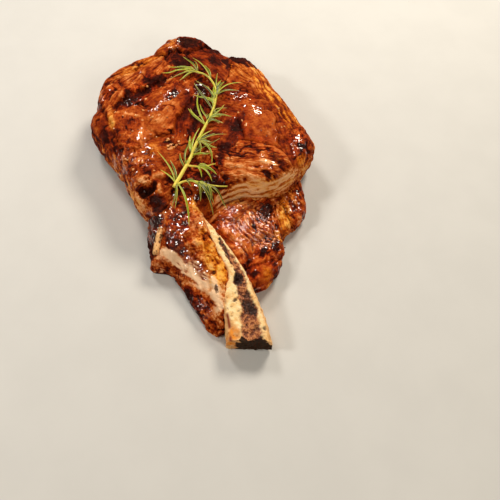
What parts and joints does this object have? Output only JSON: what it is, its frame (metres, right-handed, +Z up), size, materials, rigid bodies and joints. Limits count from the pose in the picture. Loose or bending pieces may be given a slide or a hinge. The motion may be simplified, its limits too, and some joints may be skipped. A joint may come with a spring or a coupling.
{
  "type": "cowboy steak",
  "caption": "Grilled bone-in rib eye steak with its frenched rib bone, a flap of meat beside it and a rosemary sprig on top.",
  "frame": {"origin": "middle of the steak's bounding box, on the flat underside that rests on the board", "axes": "+Z up, -Y towards the rib bone's tip, +X to the right when the bone points to the viewer"},
  "size_m": [0.1589, 0.2815, 0.0444],
  "materials": {
    "seared_meat": "glossy browned crust with dark charred spots, tan grain and orange fat",
    "bone": "satin cream sawn bone with brown spongy marrow and a charred tip",
    "herb": "satin green needles on a yellow-green stem"
  },
  "bodies": {
    "root": {"meat": "seared_meat", "rib_bone": "bone", "feather_bone": "bone", "rosemary": "herb"}
  },
  "joints": []
}
